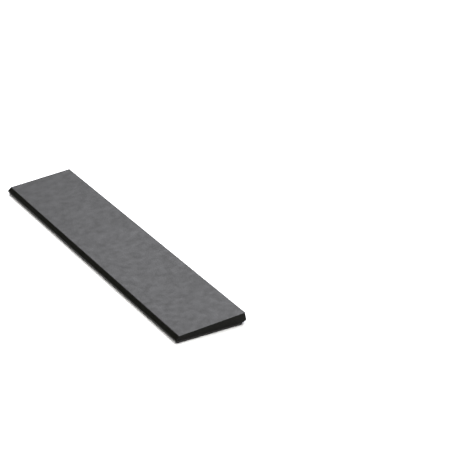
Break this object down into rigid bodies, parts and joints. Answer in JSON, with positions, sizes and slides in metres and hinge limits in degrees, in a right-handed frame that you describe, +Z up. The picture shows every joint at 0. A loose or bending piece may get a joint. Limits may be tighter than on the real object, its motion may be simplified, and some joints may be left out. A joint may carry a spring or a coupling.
{
  "type": "wrist rest",
  "caption": "Low wedge-shaped wrist rest for a full-size keyboard, in black soft-touch plastic, with steel ballast, docking magnets and rubber feet.",
  "frame": {"origin": "centre of the footprint, on the table under the feet", "axes": "+X along the rest to the user's right, +Y away from the user towards the keyboard, +Z up"},
  "size_m": [0.442, 0.0842, 0.0136],
  "materials": {
    "soft_touch": "fine-textured soft-touch black",
    "tray_plastic": "spark-eroded black ABS",
    "plate_steel": "zinc-plated sheet",
    "rail_plastic": "moulded",
    "magnet_nickel": "nickel-plated",
    "foam_black": "closed-cell foam",
    "foot_rubber": "matt",
    "tape_clear": "adhesive film",
    "screw_black": "black oxide",
    "screw_zinc": "zinc-plated"
  },
  "bodies": {
    "root": {"top_shell": "soft_touch", "base_tray": "tray_plastic", "left_ballast_plate": "plate_steel", "left_magnet_rail": "rail_plastic", "left_front_foam": "foam_black", "left_rear_foam": "foam_black", "left_docking_magnet_1": "magnet_nickel", "left_docking_magnet_2": "magnet_nickel", "left_docking_magnet_3": "magnet_nickel", "right_ballast_plate": "plate_steel", "right_magnet_rail": "rail_plastic", "right_front_foam": "foam_black", "right_rear_foam": "foam_black", "right_docking_magnet_1": "magnet_nickel", "right_docking_magnet_2": "magnet_nickel", "right_docking_magnet_3": "magnet_nickel", "front_left_foot": "foot_rubber", "front_centre_foot": "foot_rubber", "front_right_foot": "foot_rubber", "rear_left_foot": "foot_rubber", "rear_centre_foot": "foot_rubber", "rear_right_foot": "foot_rubber", "foot_tapes": "tape_clear", "cover_screws": "screw_black", "ballast_screws": "screw_zinc", "rail_screws": "screw_zinc"}
  },
  "joints": []
}
